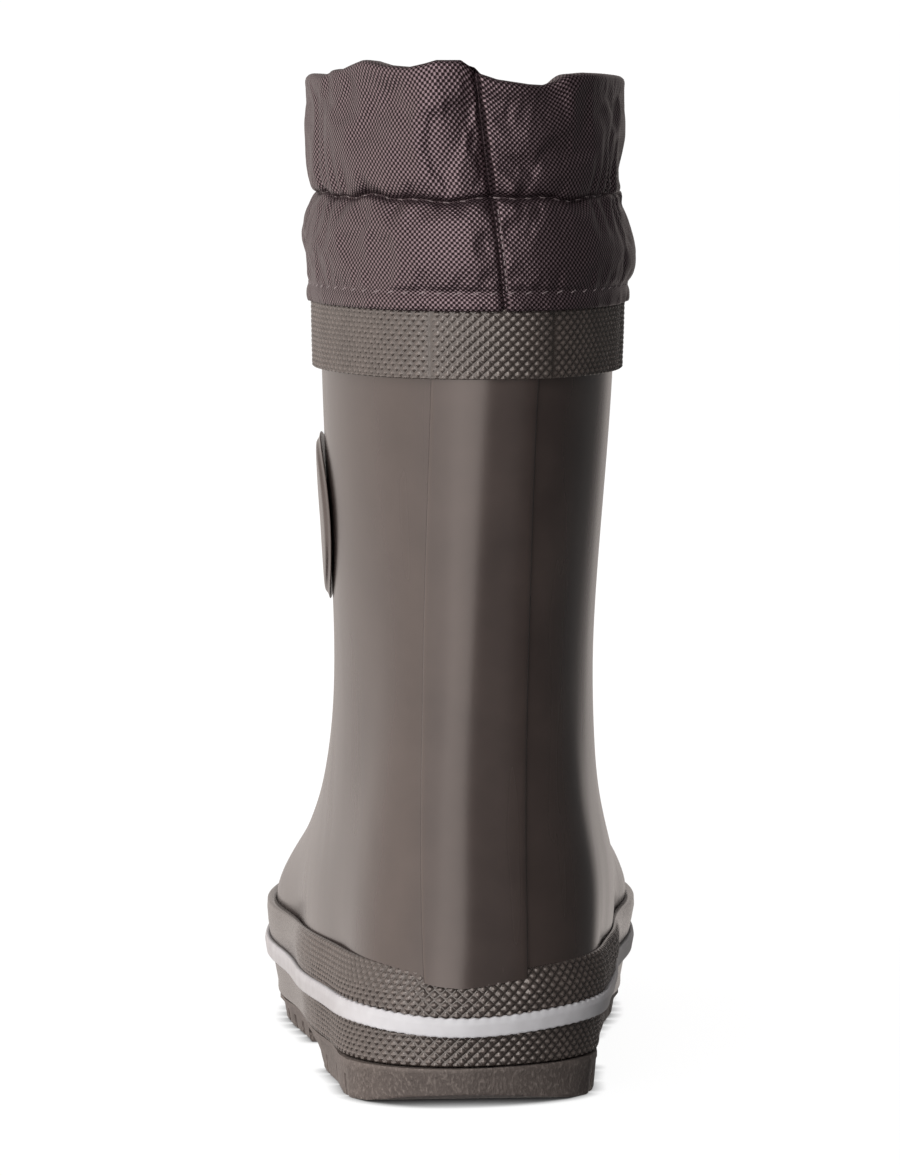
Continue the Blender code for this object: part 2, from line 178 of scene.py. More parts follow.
# Rows past the profile's middle that still lie outside, the share of a fold's depth that shows inside,
# and the millimetres above the channel over which the upper puff starts to draw in
OUTSIDE_ROWS_MORE = 4
INSIDE_FOLD = -0.6
SLIM_FADE = 3.0

# How the wadding swells the cloth: pressure, slack in the cloth, frames and the furthest move
SWELL_PRESSURE = 2.0
SWELL_SLACK = -0.02
SWELL_FRAMES = 16
SWELL_CAP = 0.8 * MM
CLOTH = {"quality": 5, "mass": 0.15, "tension_stiffness": 12, "compression_stiffness": 12,
         "shear_stiffness": 4, "bending_stiffness": 0.2, "use_pressure": True,
         "uniform_pressure_force": SWELL_PRESSURE, "shrink_min": SWELL_SLACK}

# The tint of the shine on the brown rubbers and on the nylon
WARM_GLOSS = (1.0, 0.86, 0.79, 1.0)
KNURL_GLOSS = (1.0, 0.90, 0.84, 1.0)
PINK_GLOSS = (1.0, 0.72, 0.76, 1.0)

Column = namedtuple("Column", "x y dx dy")

# The collar's cut from its hem up the outside, over the rim and down the inside. z and out are
# millimetres, out is from the shaft's outline, lift is the row's share of the rim's rise, and tied
# is how far stitching holds the row still while the padding swells.
Profile = namedtuple("Profile", "z out lift tied")
COLLAR = tuple(Profile(*row) for row in (
    (161.5, 0.4, 0.0, 1.0), (161.3, 2.2, 0.0, 1.0), (160.2, 2.4, 0.0, 1.0), (159.9, 2.8, 0.0, 1.0),
    (160.5, 3.1, 0.0, 1.0), (162.2, 3.0, 0.0, 1.0), (163.3, 2.6, 0.0, 1.0), (163.9, 1.9, 0.0, 1.0),
    (164.6, 2.6, 0.0, 0.3), (166.0, 2.9, 0.0, 0.0), (169.0, 3.1, 0.0, 0.0), (173.5, 3.1, 0.0, 0.0),
    (178.0, 2.7, 0.0, 0.0), (180.6, 2.0, 0.0, 0.0), (181.9, 1.2, 0.0, 0.3), (182.4, -0.4, 0.0, 1.0),
    (182.9, 0.9, 0.0, 0.3), (184.2, 1.7, 0.0, 0.0), (188.0, 2.2, 0.1, 0.0), (195.0, 2.3, 0.3, 0.0),
    (202.0, 2.4, 0.7, 0.0), (205.6, 2.9, 1.0, 0.6), (207.0, 2.7, 1.0, 0.9), (207.2, 1.0, 1.0, 0.9),
    (206.2, -2.2, 1.0, 0.7), (201.0, -3.3, 0.8, 0.2), (192.0, -3.2, 0.3, 0.0),
    (182.6, -2.2, 0.0, 1.0), (172.0, -3.0, 0.0, 0.1), (166.6, -2.7, 0.0, 1.0),
    (165.4, -1.7, 0.0, 1.0), (165.3, 0.0, 0.0, 1.0),
))

# The rim's rise in millimetres by turn in degrees: 0 is straight back and 90 the inner side.
Rise = namedtuple("Rise", "turn rise")
RIM = tuple(Rise(*row) for row in (
    (-180, -5.2), (-150, -5.0), (-120, -3.2), (-100, -1.4), (-84, -0.6), (-72, -0.5), (-62, -0.6),
    (-56, 0.4), (-51, 0.7), (-48, 0.7), (-42, 1.7), (-36, 2.7), (-33, 2.6), (-27, 1.8), (-20, 1.5),
    (-16, 2.2), (-13, 2.9), (-7, 2.9), (-5, 1.8), (-3.5, 1.4), (-2, 0.2), (2, -0.9), (10, -1.9),
    (14, -2.1), (17, -1.5), (21, 0.0), (27, 0.2), (34, 0.0), (46, -0.4), (64, -1.0), (90, -1.8),
    (120, -4.0), (150, -5.5), (180, -5.2),
))

# How far the upper puff draws in on the inner side, in millimetres by turn in degrees.
Slim = namedtuple("Slim", "turn inward")
SLIM = (Slim(-180, 0.0), Slim(30, 0.0), Slim(50, 1.2), Slim(105, 1.2), Slim(135, 0.0), Slim(180, 0.0))

# Folds placed one by one: turn in degrees, the height in millimetres where each is deepest, how far it
# runs to either side of that height, its half width along the fabric and its depth (a ridge is less
# than nothing). A fold widens and falls off along its run by FOLD_WIDENS and FOLD_FALL.
FOLD_WIDENS = 0.6
FOLD_FALL = 1.5
Fold = namedtuple("Fold", "turn z up down half depth")
FOLDS = tuple(Fold(*row) for row in (
    (-72, 184, 22, 1.5, 1.5, 1.1), (-64, 184, 20, 1.5, 1.4, 1.2), (-55, 184, 16, 1.5, 1.3, 1.1),
    (-47, 184, 9, 1.5, 1.2, 0.8), (-58, 206, 4, 8, 1.8, 0.7), (-43, 205, 4, 9, 2.2, 0.7),
    (-14, 201, 8, 20, 4.4, -1.3), (-26, 201, 8, 19, 5.0, 1.3), (80, 180, 2, 9, 26, 1.5),
    (80, 167, 5, 3.5, 26, -0.9), (16, 205, 4, 9, 3.0, 1.0), (22, 204, 5, 12, 3.0, -0.8),
    (6, 184, 5, 1.5, 0.9, -0.7), (6, 181, 1.5, 4, 0.9, -0.6), (33, 184, 13, 1.5, 1.2, 0.9),
    (39, 184, 17, 1.5, 1.2, 1.0), (46, 184, 15, 1.5, 1.2, 1.0), (54, 184, 12, 1.5, 1.2, 0.9),
    (34, 181, 1.5, 7, 1.1, 0.8), (42, 181, 1.5, 9, 1.2, 0.9), (51, 181, 1.5, 9, 1.2, 0.9),
    (60, 181, 1.5, 8, 1.2, 0.8), (-66, 181, 1.5, 7, 1.1, 0.7), (-57, 181, 1.5, 8, 1.1, 0.8),
    (-49, 181, 1.5, 6, 1.1, 0.7), (-38, 181, 1.5, 4, 1.0, 0.6), (-24, 181, 1.5, 5, 1.4, 0.8),
    (-16, 181, 1.5, 4, 1.2, 0.7),
))

# Small puckers along the sewn lines: height in millimetres, which way they run, ranges of their spacing
# in degrees and of their run, and depth. They are calmest at GATHER_CALM degrees on either side.
Gather = namedtuple("Gather", "z upward spacing run depth")
GATHERS = (
    Gather(183.4, True, (3.5, 8.0), (4.0, 12.0), 0.55),
    Gather(181.6, False, (3.5, 7.0), (3.0, 8.0), 0.55),
    Gather(165.0, True, (3.0, 6.0), (2.0, 6.0), 0.45),
    Gather(160.2, True, (1.5, 4.0), (2.5, 4.2), 0.62),
)
GATHER_CALM = 20.0
GATHER_CALM_SPREAD = 45.0
GATHER_SHARES = (0.55, 0.45)
GATHER_BACK = 1.0
GATHER_HALF = (0.8, 1.4)
GATHER_VARIES = (0.5, 1.3)

# The back seam's place: turn in degrees at the hem, the channel and the rim.
SEAM_HEIGHTS = (161.0, 182.5, 207.0)
SEAM_TURNS = (4.0, 1.1, -3.2)

# The seam's cross-section, in millimetres: the crease, steeper on the inner side, and the outer panel
# that rolls down to it, over a long way in the upper puff and a short one in the lower.
SEAM_DEEP = 1.1
SEAM_OUTER_HALF = 0.60
SEAM_INNER_HALF = 0.40
ROLL_HEIGHTS = (178.0, 188.0)
ROLL_DEPTHS = (0.2, 3.4)
ROLL_REACHES = (2.5, 12.0)

# The channel wanders up and down a little: millimetres of rise, waves round the collar and their start
Wander = namedtuple("Wander", "rise waves start")
CHANNEL_WANDER = (Wander(0.40, 9, 0.6), Wander(0.25, 21, 2.0))
CHANNEL_REACH = 4.0

# Stitches laid on the collar: height in millimetres, length, spacing and slant in degrees
THREAD_RADIUS = 0.17 * MM
THREAD_LIFT = 0.3
THREAD_SIDES = 6
Stitching = namedtuple("Stitching", "z long pitch slant")
STITCHING = (Stitching(163.9, 1.6, 3.6, 22.0), Stitching(182.4, 1.5, 3.3, -14.0))
STITCH_AHEAD = 0.5

# A stitch's thickness along it, as shares of its length and of the thread
STITCH_ALONG = (-0.5, -0.42, 0.0, 0.42, 0.5)
STITCH_THICK = (0.3, 0.85, 1.0, 0.85, 0.3)

# Stitches up the back seam: length, spacing and heights in millimetres, and degrees beside the seam
SEAM_STITCH_LONG = 1.1
SEAM_STITCH_PITCH = 1.7
SEAM_STITCH_FROM = 164.8
SEAM_STITCH_TO = 181.0
SEAM_STITCH_ASIDE = 0.85

# The white screen that stands in a curve round the boot: how bright it is by bearing. Bearing 0 is
# straight behind the heel and grows toward the boot's outer side, so 180 is in front of the toe.
ScreenMark = namedtuple("ScreenMark", "bearing bright colour")
SCREEN = tuple(ScreenMark(*row) for row in (
    (-46, 0.0, "#ffffff"), (-36, 0.4, "#ffffff"), (-24, 0.45, "#ffffff"), (-11, 0.12, "#ffffff"),
    (-4, 3.1, "#ffffff"), (8, 3.2, "#ffffff"), (21, 3.4, "#ffffff"), (35, 2.6, "#ffffff"),
    (50, 2.4, "#ffffff"), (65, 2.4, "#fffdfb"), (82, 2.4, "#fffaf6"), (115, 1.8, "#fff5ef"),
    (150, 1.1, "#fff5ef"), (172, 0.8, "#fff5ef"), (206, 0.7, "#fff5ef"), (222, 0.0, "#fff5ef"),
))
SCREEN_AWAY = 1.7
SCREEN_LOW = -0.9
SCREEN_HIGH = 2.2
SCREEN_PANES = 96
SCREEN_STRENGTH = 4.0
# The share of the screen's height where it starts to dim and where it is dimmest, and what is left there
SCREEN_DIMS = ((0.34, 1.0), (0.48, 0.75))
WORLD_GLOW = 0.14

# The softbox that hangs over the camera: where it is, its size in metres and how bright it is
SOFTBOX_AT = (-0.42, -1.30, 1.20)
SOFTBOX_SIZE = (0.9, 0.6)
SOFTBOX_BRIGHT = 4.0

# The paper on the floor, in metres: half its width, its front edge, where it turns up, the turn's radius
# and its top. CONTACT_REACH is how far from the sole its painted contact shadow is seen.
PAPER_HALF = 4.0
PAPER_FRONT = -4.0
PAPER_TURN = 2.0
PAPER_SWEEP = 0.8
PAPER_TOP = 3.2
CONTACT_REACH = 3.0 * MM


def deselect():
    bpy.ops.object.select_all(action="DESELECT")


def work_on(piece):
    deselect()
    piece.select_set(True)
    bpy.context.view_layer.objects.active = piece


def applied(piece, kind, **settings):
    work_on(piece)
    modifier = piece.modifiers.new(kind.lower(), kind)
    for name, value in settings.items():
        setattr(modifier, name, value)
    bpy.ops.object.modifier_apply(modifier=modifier.name)


@contextmanager
def editing(piece, action):
    """Edit mode on a piece, with all or none of its mesh selected."""
    work_on(piece)
    bpy.ops.object.mode_set(mode="EDIT")
    bpy.ops.mesh.select_all(action=action)
    yield
    bpy.ops.object.mode_set(mode="OBJECT")


def copy_of(node, name):
    """A free copy of a solid, its loose triangles merged and paired into quads."""
    piece = bpy.data.objects.new(name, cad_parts[node].data.copy())
    piece.data.materials.clear()
    scene.collection.objects.link(piece)
    work_on(piece)
    bpy.ops.mesh.customdata_custom_splitnormals_clear()
    with editing(piece, "SELECT"):
        bpy.ops.mesh.remove_doubles(threshold=MERGE_WITHIN)
        bpy.ops.mesh.tris_convert_to_quads(face_threshold=QUAD_BEND, shape_threshold=QUAD_BEND)
    return piece


def grid_mesh(name, grid, around=True, along=True, uv=None):
    """A mesh over a grid of points [row, column], joined up around its columns and along its rows."""
    rows, columns = grid.shape[:2]
    index = np.arange(rows * columns).reshape(rows, columns)
    after_row = np.roll(index, -1, axis=0)
    after_column = np.roll(index, -1, axis=1)
    after_both = np.roll(after_row, -1, axis=1)
    quads = np.stack([index, after_column, after_both, after_row], axis=-1)
    quads = quads[: rows if along else rows - 1, : columns if around else columns - 1]
    mesh = bpy.data.meshes.new(name)
    mesh.from_pydata(grid.reshape(-1, 3).tolist(), [], quads.reshape(-1, 4).tolist())
    if uv is not None:
        layer = mesh.uv_layers.new(name="cloth")
        corners = np.zeros(len(mesh.loops), dtype=np.int32)
        mesh.loops.foreach_get("vertex_index", corners)
        layer.data.foreach_set("uv", uv.reshape(-1, 2)[corners].astype(np.float32).ravel())
    piece = bpy.data.objects.new(name, mesh)
    scene.collection.objects.link(piece)
    return piece


def face_outward(piece):
    with editing(piece, "SELECT"):
        bpy.ops.mesh.normals_make_consistent(inside=False)


def hand_over(piece, material, slot, *nodes):
    """Gives a finished piece its material and its body, and hides the solids it stands for. slot is not
    used.
    """
    piece.data.materials.clear()
    piece.data.materials.append(material)
    work_on(piece)
    bpy.ops.object.shade_smooth()
    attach(piece, "root")
    if nodes:
        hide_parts(*nodes)
    return piece


# Measuring the solids

def tree_of(piece):
    mesh = piece.data
    points = [vertex.co.copy() for vertex in mesh.vertices]
    return BVHTree.FromPolygons(points, [tuple(face.vertices) for face in mesh.polygons])


def out_on(column, out):
    return column.x + column.dx * out, column.y + column.dy * out


def hit(tree, column, z):
    """Where a level ray from far outside meets the solid in a column: place, normal and distance."""
    start = Vector((*out_on(column, FAR), z))
    place, normal, _, away = tree.ray_cast(start, Vector((-column.dx, -column.dy, 0.0)), FAR)
    return place, normal, away


def reach(tree, column, z):
    """How far out along a column the solid's outer face lies at this height, or None."""
    place, _, away = hit(tree, column, z)
    return None if place is None else FAR - away


def last_inside(is_inside, inside, outside, halvings):
    """The last value that is still inside, found by halving the way to one that is outside."""
    for _ in range(halvings):
        middle = (inside + outside) / 2
        if is_inside(middle):
            inside = middle
        else:
            outside = middle
    return inside


def edge_height(tree, column, inside, outside):
    """The height of a band's edge in a column, between a height inside the band and one past it."""
    return last_inside(lambda z: reach(tree, column, z) is not None, inside, outside, HEIGHT_HALVINGS)


def shaft_column(turn):
    angle = math.radians(turn)
    return Column(*SHAFT_AXIS, math.sin(angle), -math.cos(angle))


def shaft_columns():
    return [shaft_column(360 * index / COLUMNS) for index in range(COLUMNS)]


def foot_columns():
    """Columns round the foot: half a turn about the heel, the two sides, half a turn about the toe."""
    heel = Vector(HEEL_CENTRE)
    toe = Vector(TOE_CENTRE)
    quarter = COLUMNS // 8
    columns = []
    for step in range(quarter):
        angle = math.pi / 2 * step / quarter
        columns.append(Column(*heel, math.sin(angle), -math.cos(angle)))
    for step in range(2 * quarter):
        columns.append(Column(*heel.lerp(toe, step / (2 * quarter)), 1.0, 0.0))
    for step in range(2 * quarter):
        angle = math.pi / 2 + math.pi * step / (2 * quarter)
        columns.append(Column(*toe, math.sin(angle), -math.cos(angle)))
    for step in range(2 * quarter):
        columns.append(Column(*toe.lerp(heel, step / (2 * quarter)), -1.0, 0.0))
    for step in range(quarter):
        angle = -math.pi / 2 + math.pi / 2 * step / quarter
        columns.append(Column(*heel, math.sin(angle), -math.cos(angle)))
    return columns


def evened(values, spread):
    """Smooths values round a closed ring, over about that many samples."""
    count = len(values)
    waves = np.fft.rfft(values, axis=0)
    keep = np.exp(-2 * (math.pi * np.fft.rfftfreq(count) * spread) ** 2)
    return np.fft.irfft(waves * keep.reshape((-1,) + (1,) * (values.ndim - 1)), count, axis=0)


def curve(before, here, after, later, part):
    """A smooth curve through four values, part of the way from the second to the third."""
    return 0.5 * (2 * here + (after - before) * part
                  + (2 * before - 5 * here + 4 * after - later) * part ** 2
                  + (3 * here - before - 3 * after + later) * part ** 3)


def ring_between(table, place):
    """Values of a closed table at fractional indices, by a smooth curve through its entries."""
    count = len(table)
    low = np.floor(place).astype(int)
    part = (place - low).reshape((-1,) + (1,) * (table.ndim - 1))
    return curve(*(table[(low + step) % count] for step in (-1, 0, 1, 2)), part)


def ring_lengths(ring):
    """Length along a closed ring of plan points to each point, and the whole length."""
    steps = np.linalg.norm(np.roll(ring, -1, axis=0) - ring, axis=1)
    return np.concatenate([[0.0], np.cumsum(steps)[:-1]]), steps.sum()


def ring_normals(ring):
    along = np.roll(ring, -1, axis=0) - np.roll(ring, 1, axis=0)
    along /= np.linalg.norm(along, axis=1, keepdims=True)
    return np.stack([along[:, 1], -along[:, 0]], axis=1)


def measure_band(node, columns, evening=SHAFT_EVENING):
    """A band's outer face: plan points [column, share, xy] and its low and high edges by column."""
    tree = tree_of(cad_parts[node])
    bottom, top = (corner.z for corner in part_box(node))
    tries = np.linspace(bottom, top, EDGE_TRIES)
    low = np.zeros(len(columns))
    high = np.zeros(len(columns))
    for index, column in enumerate(columns):
        inside = np.median([z for z in tries if reach(tree, column, z) is not None])
        low[index] = edge_height(tree, column, inside, bottom - MM)
        high[index] = edge_height(tree, column, inside, top + MM)
    points = np.zeros((len(columns), len(SAMPLE_SHARES), 2))
    for index, column in enumerate(columns):
        for row, share in enumerate(SAMPLE_SHARES):
            z = low[index] + (high[index] - low[index]) * share
            points[index, row] = out_on(column, reach(tree, column, z))
    return evened(points, evening), evened(low, evening), evened(high, evening)


def knurl(along, up, pitches):
    """Height from 0 to 1 of a diamond knurl: pyramids with flat tops between two sets of grooves."""
    rising = along / pitches[0] + up / pitches[1]
    falling = along / pitches[0] - up / pitches[1]
    ridges = [1 - np.abs(2 * (wave - np.floor(wave)) - 1) for wave in (rising, falling)]
    return np.minimum(np.minimum(*ridges), KNURL_FLAT) / KNURL_FLAT


def rounded_edge(away, radius):
    """How far a face draws back at this distance from its edge, for an edge of that radius."""
    short = np.clip(radius - away, 0.0, radius)
    return radius - np.sqrt(radius ** 2 - short ** 2)


def stations(length, step_at):
    """Distances along a ring whose spacing is given by step_at(distance)."""
    places = [0.0]
    while places[-1] < length:
        places.append(places[-1] + step_at(places[-1]))
    places = np.array(places[:-1])
    return places * length / (places[-1] + step_at(places[-1]))


def finer_near_back(whole, within, fine, coarse, blend):
    """A spacing rule: fine steps near the back, that grow to coarse ones over the length of blend."""
    def step_at(place):
        past = (min(place, whole - place) - within) / blend
        return fine + (coarse - fine) * min(max(past, 0.0), 1.0)
    return step_at


def band_piece(name, measured, wall, edges, step_at, shares, relief, low_shift=None, high_shift=None,
               thinned=None):
    """A closed ring of rubber over a measured band, with relief(along, up) standing on its face.
    thinned(along, below_top, whole) is how much thinner it is cut toward its top edge."""
    points, low, high = measured
    middle = points[:, len(SAMPLE_SHARES) // 2]
    lengths, whole = ring_lengths(middle)
    places = stations(whole, step_at)
    index = np.interp(places, np.append(lengths, whole), np.arange(len(lengths) + 1))
    face = ring_between(points, index)
    normals = ring_between(ring_normals(middle), index)
    bottom = ring_between(low, index) + (low_shift(places, whole) if low_shift else 0.0)
    top = ring_between(high, index) + (high_shift(places, whole) if high_shift else 0.0)
    rings = []
    crests = []
    for share in shares:
        plan = np.stack([
            [np.interp(share, SAMPLE_SHARES, face[column, :, axis]) for column in range(len(places))]
            for axis in range(2)], axis=1)
        z = bottom + (top - bottom) * share
        inset = rounded_edge(z - bottom, edges[0]) + rounded_edge(top - z, edges[1])
        if thinned:
            inset = inset + thinned(places, top - z, whole)
        stand = np.clip(np.minimum((z - bottom) / edges[0], (top - z) / edges[1]), 0, 1)
        raised = relief(places, z - bottom, whole) * stand
        crests.append(raised)
        rings.append(np.column_stack([plan + normals * (raised - inset)[:, None], z]))
    for share in (1.0, 0.5, 0.0):
        ring = rings[min(int(share * (len(rings) - 1)), len(rings) - 1)].copy()
        ring[:, :2] = face[:, int(share * (len(SAMPLE_SHARES) - 1))] - normals * wall
        rings.append(ring)
        crests.append(np.full(len(places), np.min(crests)))
    piece = grid_mesh(name, np.array(rings))
    # The knurl's height is kept as the crest attribute, which the knurled rubber reads for its painted
    # highlight on the crests and painted shade in the grooves.
    height = np.array(crests) - np.min(crests)
    crest = piece.data.attributes.new("crest", "FLOAT", "POINT")
    crest.data.foreach_set("value", (height / max(height.max(), LEAST_RELIEF)).astype(np.float32).ravel())
    face_outward(piece)
    return piece


# Rubber pieces

def make_upper(material):
    piece = copy_of("upper", "upper_shell")
    applied(piece, "SUBSURF", levels=2, render_levels=2)
    low, high = (corner.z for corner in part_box("upper"))
    group = piece.vertex_groups.new(name="open_face")
    for vertex in piece.data.vertices:
        from_edge = min(vertex.co.z - low - SHELL_EDGE_LOW, high - SHELL_EDGE_HIGH - vertex.co.z)
        group.add([vertex.index], min(max(from_edge / SHELL_EDGE_FADE, 0.0), 1.0), "REPLACE")
    applied(piece, "SMOOTH", factor=0.5, iterations=SHELL_SMOOTHING, vertex_group=group.name)
    return hand_over(piece, material, "upper_rubber", "upper")


def make_top_band(material):
    measured = measure_band("top_band", shaft_columns())
    _, whole = ring_lengths(measured[0][:, 2])
    pitch = whole / round(whole / BAND_KNURL[0])

    def relief(along, up, _):
        signed = from_the_back(along, whole)
        flat = sum(np.exp(-((signed - seam) / BAND_SEAM_HALF) ** 2) for seam in BAND_SEAMS_AT)
        return BAND_KNURL_TALL * (knurl(along, up, (pitch, BAND_KNURL[1])) * (1 - flat) - BAND_KNURL_SUNK)

    rows = np.linspace(0.0, 1.0, BAND_ROWS)
    piece = band_piece("knurled_top_band", measured, BAND_WALL, BAND_EDGES, lambda _: KNURL_STEP, rows,
                       relief)
    return hand_over(piece, material, "band_rubber", "top_band")


def heel_distance(along, whole):
    return np.minimum(along, whole - along)


def from_the_back(along, whole):
    """Distance round a ring from the middle of the back, less than nothing on the outer side."""
    return np.where(along < whole / 2, along, along - whole)


def heel_step(whole):
    return finer_near_back(whole, KNURL_FADE_AT[3], KNURL_STEP, PLAIN_STEP, PLAIN_STEP)


def make_foxing(material, columns):
    measured = measure_band("foxing", columns, FOOT_EVENING)
    _, whole = ring_lengths(measured[0][:, 2])

    def relief(along, up, whole_length):
        from_back = heel_distance(along, whole_length)
        signed = from_the_back(along, whole_length)
        stand = np.interp(from_back, KNURL_FADE_AT, KNURL_FADE)
        return FOXING_KNURL_TALL * stand * (knurl(signed, up, FOXING_KNURL) - FOXING_KNURL_SUNK)

    def tuck(along, whole_length):
        """The top edge runs a little lower where the backstay laps over it."""
        signed = from_the_back(along, whole_length)
        inside = np.minimum(signed - TUCK_FROM, TUCK_TO - signed)
        return -TUCK_DROP * np.clip(inside / TUCK_SLOPE, 0, 1)

    def skived(along, below_top, whole_length):
        """The lip is cut thin round the heel and left thicker toward the toe."""
        share = np.interp(heel_distance(along, whole_length), SKIVE_FADE_AT, SKIVE_FADE)
        return FOXING_SKIVE[0] * share * np.clip(1 - below_top / FOXING_SKIVE[1], 0, 1)

    rows = np.linspace(0.0, 1.0, FOXING_ROWS)
    piece = band_piece("knurled_foxing", measured, FOXING_WALL, FOXING_EDGES, heel_step(whole), rows,
                       relief, high_shift=tuck, thinned=skived)
    return hand_over(piece, material, "band_rubber", "foxing")


def make_stripe(material, columns):
    measured = measure_band("stripe", columns, FOOT_EVENING)
    _, whole = ring_lengths(measured[0][:, 2])

    def tooth(along, whole_length):
        """The stripe's edges rise over the knurl's pyramids and sink into its grooves."""
        stand = np.interp(heel_distance(along, whole_length), KNURL_FADE_AT, KNURL_FADE)
        signed = from_the_back(along, whole_length)
        return STRIPE_TOOTH * stand * (np.abs(2 * ((signed / FOXING_KNURL[0]) % 1.0) - 1) - 0.5)

    rows = (1 - np.cos(np.linspace(0.0, math.pi, STRIPE_ROWS))) / 2
    piece = band_piece("pale_stripe", measured, STRIPE_WALL, STRIPE_EDGES, heel_step(whole), rows,
                       lambda along, up, _: 0.0 * along, high_shift=tooth,
                       low_shift=lambda along, length: STRIPE_LOW_TOOTH * tooth(along, length))
    return hand_over(piece, material, "stripe_rubber", "stripe")


def make_backstay(material, upper):
    """The strip up the back, laid on the smooth shell between the solid's own edges."""
    solid = tree_of(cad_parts["backstay"])
    shell = tree_of(upper)
    foxing = tree_of(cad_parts["foxing"])
    bottom, end = (corner.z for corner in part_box("backstay"))
    heights = np.linspace(bottom + BACKSTAY_MARGINS[0], end - BACKSTAY_MARGINS[1], BACKSTAY_TRIES)

    def side_turn(z, past):
        def is_on(turn):
            return reach(solid, shaft_column(turn), z) is not None
        return last_inside(is_on, 0.0, past, TURN_HALVINGS)

    sides = [np.polyfit(heights, [side_turn(z, past) for z in heights], BACKSTAY_ORDER)
             for past in (-BACKSTAY_PAST, BACKSTAY_PAST)]
    shares = np.concatenate([BACKSTAY_SIDE_SHARES, BACKSTAY_MID_SHARES, 1 - BACKSTAY_SIDE_SHARES[::-1]])
    outer = np.zeros((BACKSTAY_ROWS, len(shares), 3))
    inner = np.zeros_like(outer)
    for place, share in enumerate(shares):
        left, right = (np.polyval(side, heights[0]) for side in sides)
        foot = shaft_column(left * (1 - share) + right * share)
        low = edge_height(foxing, foot, *FOXING_TOP_BETWEEN) - TUCK_DROP - BACKSTAY_LAP
        for row, z in enumerate(np.linspace(low, end + BACKSTAY_TUCK, BACKSTAY_ROWS)):
            left, right = (np.polyval(side, z) for side in sides)
            column = shaft_column(left + (right - left) * share)
            out = reach(shell, column, z)
            from_edge = min(share, 1 - share) * math.radians(right - left) * out
            flare = BACKSTAY_FLARE * max(share - BACKSTAY_FLARE_FROM, 0.0) / (1 - BACKSTAY_FLARE_FROM)
            rounded = rounded_edge(np.array(from_edge), BACKSTAY_EDGE)
            proud = BACKSTAY_PROUD + flare - BACKSTAY_EDGE_DROP * rounded
            for points, height in ((outer, proud), (inner, BACKSTAY_GLUE)):
                points[row, place] = (*out_on(column, out + height), z)
    piece = grid_mesh("backstay_strip", np.concatenate([outer, inner[:, ::-1]], axis=1), along=False)
    with editing(piece, "DESELECT"):
        bpy.ops.mesh.select_non_manifold()
        bpy.ops.mesh.fill_holes(sides=0)
    face_outward(piece)
    hand_over(piece, material, "upper_rubber", "backstay")
    bpy.ops.object.shade_smooth_by_angle(angle=BACKSTAY_SHADE)
    return piece


def make_badge(material):
    piece = copy_of("badge", "bare_badge")
    applied(piece, "SUBSURF", levels=3, render_levels=3)
    return hand_over(piece, material, "upper_rubber", "badge")


def make_outsole(material):
    piece = copy_of("outsole", "lugged_outsole")
    with editing(piece, "SELECT"):
        bpy.ops.mesh.dissolve_limited(angle_limit=SOLE_FLAT)
    applied(piece, "BEVEL", width=SOLE_EDGE_ROUND, segments=3, limit_method="ANGLE", angle_limit=SOLE_CORNER)
    hand_over(piece, material, "sole_rubber", "outsole")
    bpy.ops.object.shade_smooth_by_angle(angle=SOLE_SHADE)
    return piece


def make_insole(material):
    piece = copy_of("insole", "foam_insole")
    applied(piece, "BEVEL", width=INSOLE_EDGE_ROUND, segments=3, limit_method="ANGLE",
            angle_limit=INSOLE_CORNER)
    hand_over(piece, material, "insole_foam", "insole")
    bpy.ops.object.shade_smooth_by_angle(angle=INSOLE_SHADE)
    return piece


def make_lining(material):
    """The knitted pile bonded inside the shell: the shell's inner faces, drawn in and thickened."""
    piece = copy_of("upper", "pile_lining")
    with editing(piece, "DESELECT"):
        bpy.ops.mesh.select_mode(type="FACE")
    for face in piece.data.polygons:
        centre = Vector(face.center)
        if centre.y < SHAFT_AXIS[1] or centre.z > ANKLE_HEIGHT:
            middle = Vector((SHAFT_AXIS[0], SHAFT_AXIS[1], centre.z))
        else:
            middle = Vector((SHAFT_AXIS[0], min(centre.y, TOE_MIDDLE), FOOT_MIDDLE))
        face.select = face.normal.dot((middle - centre).normalized()) < LINING_FACING
    bpy.ops.object.mode_set(mode="EDIT")
    bpy.ops.mesh.delete(type="FACE")
    bpy.ops.object.mode_set(mode="OBJECT")
    with editing(piece, "SELECT"):
        bpy.ops.transform.shrink_fatten(value=LINING_GAP)
    applied(piece, "SUBSURF", levels=2, render_levels=2)
    applied(piece, "SOLIDIFY", thickness=LINING_THICK, offset=1.0)
    return hand_over(piece, material, "insole_foam")


# The padded collar

def seat_outline():
    """The shaft's outline where the collar is sewn on: plan points, outward normals and lengths."""
    tree = tree_of(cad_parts["upper"])
    ring = np.zeros((COLUMNS, 2))
    for index, column in enumerate(shaft_columns()):
        ring[index] = out_on(column, reach(tree, column, COLLAR_SEAT))
    ring = evened(ring, SEAT_EVENING)
    lengths, whole = ring_lengths(ring)
    return ring, ring_normals(ring), lengths, whole


